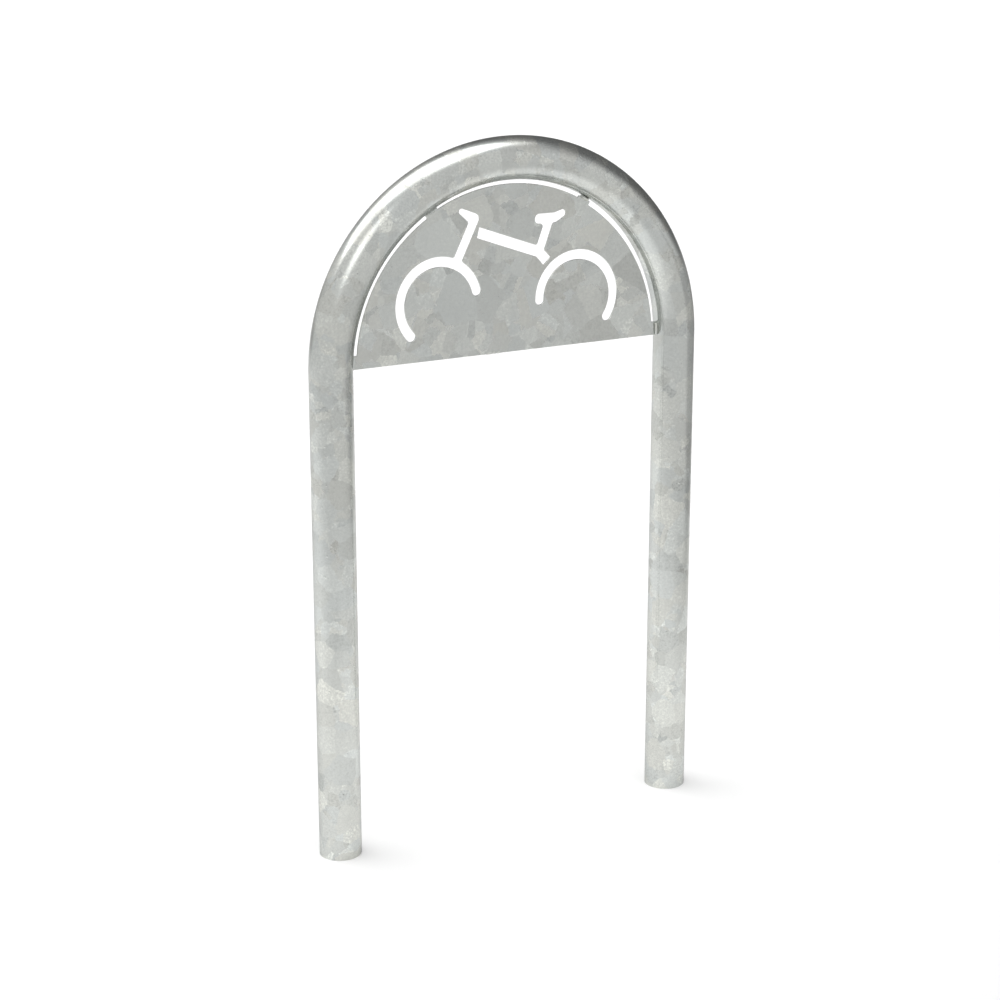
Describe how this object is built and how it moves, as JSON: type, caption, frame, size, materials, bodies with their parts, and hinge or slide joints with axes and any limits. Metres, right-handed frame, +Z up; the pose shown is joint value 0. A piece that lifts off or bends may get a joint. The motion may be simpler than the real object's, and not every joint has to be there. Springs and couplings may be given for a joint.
{
  "type": "bike rack",
  "caption": "Inverted-U bike rack of bent round steel tube with a half-round bicycle pictogram plate welded into the arch, hot-dip galvanised, with open feet to be set in the ground.",
  "frame": {"origin": "midway between the two feet, at the height of their cut ends", "axes": "+Z up, +X along the hoop's width, -Y towards the face on which the bicycle faces left"},
  "size_m": [0.6, 0.0598, 0.9999],
  "materials": {
    "galvanised_tube": "hot-dip galvanised, grey spangle, satin",
    "galvanised_plate": "hot-dip galvanised, grey spangle, satin",
    "galvanised_weld": "hot-dip galvanised weld bead, satin"
  },
  "bodies": {
    "root": {"hoop_tube": "galvanised_tube", "pictogram_plate": "galvanised_plate", "weld_left_front": "galvanised_weld", "weld_left_back": "galvanised_weld", "weld_right_front": "galvanised_weld", "weld_right_back": "galvanised_weld", "weld_upper_left": "galvanised_weld", "weld_upper_right": "galvanised_weld"}
  },
  "joints": []
}
